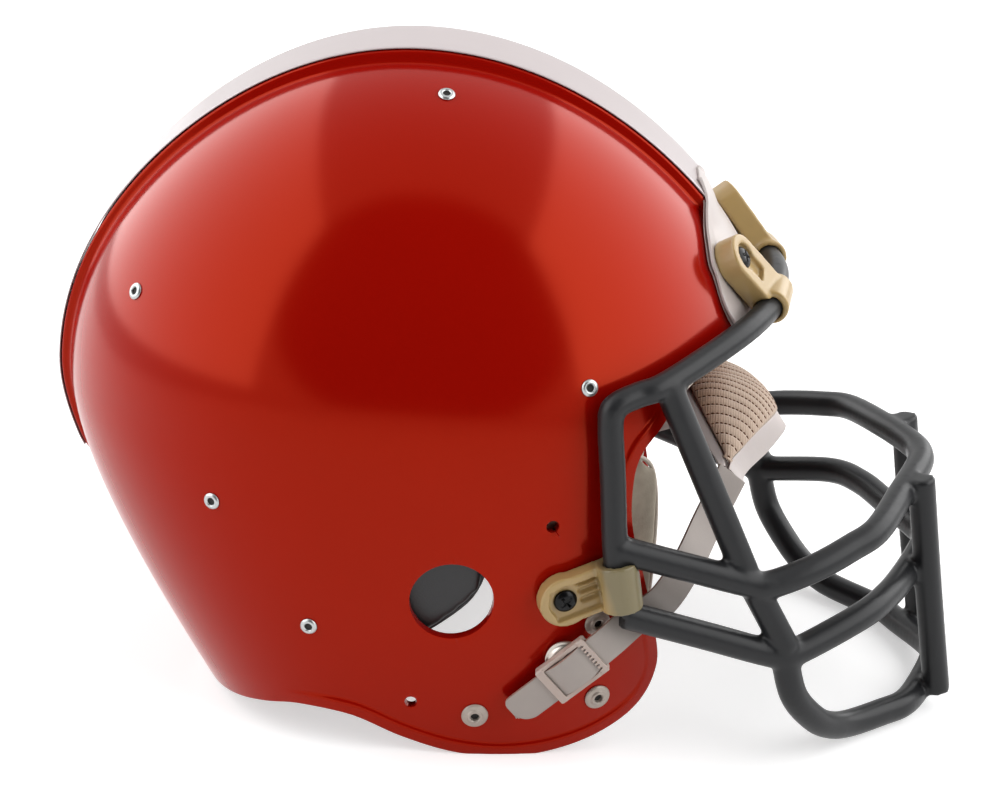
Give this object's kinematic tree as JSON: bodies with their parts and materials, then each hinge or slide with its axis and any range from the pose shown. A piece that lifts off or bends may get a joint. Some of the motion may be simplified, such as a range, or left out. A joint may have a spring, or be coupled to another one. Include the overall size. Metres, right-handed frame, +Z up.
{
  "type": "football helmet",
  "caption": "Hard-shell sports helmet with padded liner, wire face guard on loop clips, and a chin strap held by snaps that swings down.",
  "frame": {"origin": "middle of the overall box, on the level surface that the helmet stands on", "axes": "+X forward, out of the face opening; +Y to the wearer's left; +Z up, towards the crown"},
  "size_m": [0.3798, 0.2302, 0.262],
  "materials": {
    "shell": "high gloss moulded plastic",
    "white_vinyl": "semi-gloss vinyl",
    "rivet": "satin",
    "stud": "satin, beige coat",
    "mask": "satin dipped coat over steel wire",
    "clip": "translucent semi-gloss moulding",
    "screw": "black",
    "nut": "plain",
    "socket": "plain",
    "jaw_pad": "soft vinyl over foam",
    "pad": "soft black vinyl over foam",
    "knit": "knit with stitched rows",
    "strap": "coated webbing",
    "buckle": "semi-gloss"
  },
  "bodies": {
    "helmet": {"back_pad": "pad", "brow_and_side_wire": "mask", "brow_pad": "pad", "centre_stripe": "white_vinyl", "crown_pad": "pad", "crown_rivet_left": "rivet", "crown_rivet_right": "rivet", "front_plate": "white_vinyl", "front_washer_left": "stud", "front_washer_right": "stud", "jaw_bar": "mask", "jaw_pad_left": "jaw_pad", "jaw_pad_right": "jaw_pad", "left_brow_clip": "clip", "left_brow_nut": "nut", "left_brow_screw": "screw", "left_side_clip": "clip", "left_side_nut": "nut", "left_side_screw": "screw", "low_rivet_left": "rivet", "low_rivet_right": "rivet", "lower_bar": "mask", "mask_short_strut_left": "mask", "mask_short_strut_right": "mask", "mask_strut_left": "mask", "mask_strut_right": "mask", "mask_upright_left": "mask", "mask_upright_right": "mask", "nape_pad": "pad", "nape_rivet_left": "rivet", "nape_rivet_right": "rivet", "rear_rivet_left": "rivet", "rear_rivet_right": "rivet", "rear_washer_left": "stud", "rear_washer_right": "stud", "right_brow_clip": "clip", "right_brow_nut": "nut", "right_brow_screw": "screw", "right_side_clip": "clip", "right_side_nut": "nut", "right_side_screw": "screw", "shell": "shell", "side_pad_left": "pad", "side_pad_right": "pad", "snap_stud_left": "stud", "snap_stud_right": "stud", "temple_rivet_left": "rivet", "temple_rivet_right": "rivet", "upper_bar": "mask", "upper_washer_left": "stud", "upper_washer_right": "stud"},
    "strap": {"chin_cup": "white_vinyl", "chin_cup_lining": "knit", "chin_strap_left": "strap", "chin_strap_right": "strap", "buckle_left": "buckle", "buckle_right": "buckle", "snap_socket_left": "socket", "snap_socket_right": "socket"}
  },
  "joints": [
    {"name": "strap_swing", "type": "hinge", "parent": "helmet", "child": "strap", "pos_m": [0.02522, 0, 0.045], "axis": [0, 1, 0], "range_deg": [-1, 46]}
  ]
}
